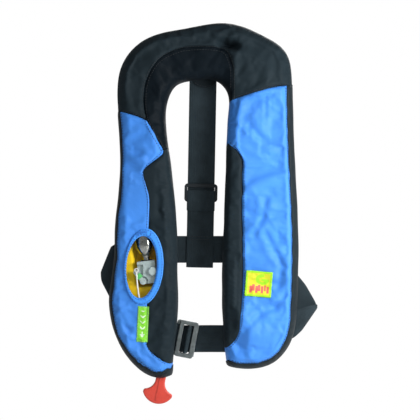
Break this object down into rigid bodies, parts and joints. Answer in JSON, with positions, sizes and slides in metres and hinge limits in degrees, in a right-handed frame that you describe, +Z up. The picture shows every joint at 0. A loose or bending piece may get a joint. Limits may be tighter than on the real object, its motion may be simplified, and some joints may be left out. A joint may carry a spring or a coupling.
{
  "type": "inflatable life jacket",
  "caption": "Horseshoe-shaped inflatable life jacket with a collar, two front lobes, an inflator behind an oval window, a pull handle, a back strap and a buckled waist belt.",
  "frame": {"origin": "on the collar's neck edge at the middle of the back of the neck, at the cover's back face", "axes": "+Z up along the jacket's height, -Y out of the front face, +X towards the wearer's left arm"},
  "size_m": [0.3173, 0.0738, 0.5533],
  "materials": {
    "blue_fabric": "woven nylon, satin",
    "black_fabric": "woven nylon, matt",
    "lining_fabric": "smooth coated nylon",
    "back_fabric": "woven nylon, matt",
    "webbing": "woven polyester webbing",
    "bezel_trim": "coated tape, satin",
    "clear_vinyl": "clear flexible vinyl",
    "yellow_bladder": "coated fabric, satin",
    "label_green": "printed label",
    "badge_print": "printed label",
    "hook_and_loop": "matt",
    "grey_plastic": "moulded, satin",
    "pale_plastic": "moulded, satin",
    "green_plastic": "moulded",
    "black_plastic": "moulded, satin",
    "red_plastic": "moulded, semi-gloss",
    "orange_plastic": "moulded",
    "black_rubber": "moulded",
    "white_cord": "braided cord",
    "cylinder_steel": "plated",
    "buckle_steel": "satin, cast and tumbled",
    "pin_steel": "turned",
    "stem_brass": "turned"
  },
  "bodies": {
    "jacket": {"left_blue_panel": "blue_fabric", "left_inner_panel": "black_fabric", "left_edge_binding": "black_fabric", "right_blue_panel": "blue_fabric", "right_inner_panel": "black_fabric", "right_edge_binding": "black_fabric", "collar_cover": "black_fabric", "neck_lining": "lining_fabric", "left_back_panel": "back_fabric", "right_back_panel": "back_fabric", "collar_back_panel": "back_fabric", "closure_loop_strip": "hook_and_loop", "closure_hook_strip": "hook_and_loop", "bladder": "yellow_bladder", "window_bezel": "bezel_trim", "window_lens": "clear_vinyl", "pull_label": "label_green", "badge_label": "badge_print", "inflator_body": "grey_plastic", "cylinder_washer": "black_rubber", "manifold_stem": "stem_brass", "manifold_gasket": "black_rubber", "cap_nut": "pale_plastic", "lever_pin": "pin_steel", "oral_tube": "black_plastic", "whistle": "orange_plastic", "strap_tab": "black_fabric", "back_strap": "webbing", "waist_belt_back": "webbing", "waist_belt_right": "webbing", "waist_belt_left": "webbing", "waist_belt_front": "webbing", "right_belt_keeper": "webbing", "left_belt_keeper": "webbing", "buckle_frame": "buckle_steel", "buckle_end_webbing": "webbing"},
    "handle": {"pull_handle": "red_plastic", "pull_cord": "white_cord"},
    "lever": {"firing_lever": "pale_plastic", "indicator_clip": "green_plastic"},
    "pin": {"firing_pin": "pin_steel"},
    "cylinder": {"co2_cylinder": "cylinder_steel"},
    "cap": {"dust_cap": "black_rubber"},
    "valve": {"oral_valve": "pale_plastic"},
    "slider": {"strap_slider": "black_plastic", "slider_webbing": "webbing"},
    "toggle": {"buckle_toggle": "buckle_steel", "toggle_webbing": "webbing"}
  },
  "joints": [
    {"name": "handle_pull", "type": "slide", "parent": "jacket", "child": "handle", "axis": [0.12, 0, -0.9928], "range_m": [0, 0.026]},
    {"name": "lever_swing", "type": "hinge", "parent": "jacket", "child": "lever", "pos_m": [-0.0892, -0.037, -0.2944], "axis": [0, -1, 0], "range_deg": [0, 100]},
    {"name": "pin_strike", "type": "slide", "parent": "jacket", "child": "pin", "axis": [-0.1219, 0, 0.9925], "range_m": [0, 0.003]},
    {"name": "cylinder_unscrew", "type": "hinge", "parent": "jacket", "child": "cylinder", "pos_m": [-0.08362, -0.0287, -0.27383], "axis": [-0.1219, 0, 0.9925], "continuous": true},
    {"name": "cap_pull", "type": "slide", "parent": "jacket", "child": "cap", "axis": [0, 0, 1], "range_m": [0, 0.022]},
    {"name": "valve_press", "type": "slide", "parent": "jacket", "child": "valve", "axis": [0, 0, -1], "range_m": [0, 0.003], "stiffness_N_per_m": 200},
    {"name": "slider_adjust", "type": "slide", "parent": "jacket", "child": "slider", "axis": [0.0191, -0.0901, 0.9958], "range_m": [-0.022, 0.06]},
    {"name": "toggle_tilt", "type": "hinge", "parent": "jacket", "child": "toggle", "pos_m": [-0.0142, -0.0014, -0.38409], "axis": [0.1908, 0, 0.9816], "range_deg": [0, 55]}
  ],
  "couplings": [
    {"joint": "lever_swing", "follows": "handle_pull", "rad_per_m": 67.061},
    {"joint": "pin_strike", "follows": "handle_pull", "ratio": 0.11527}
  ]
}
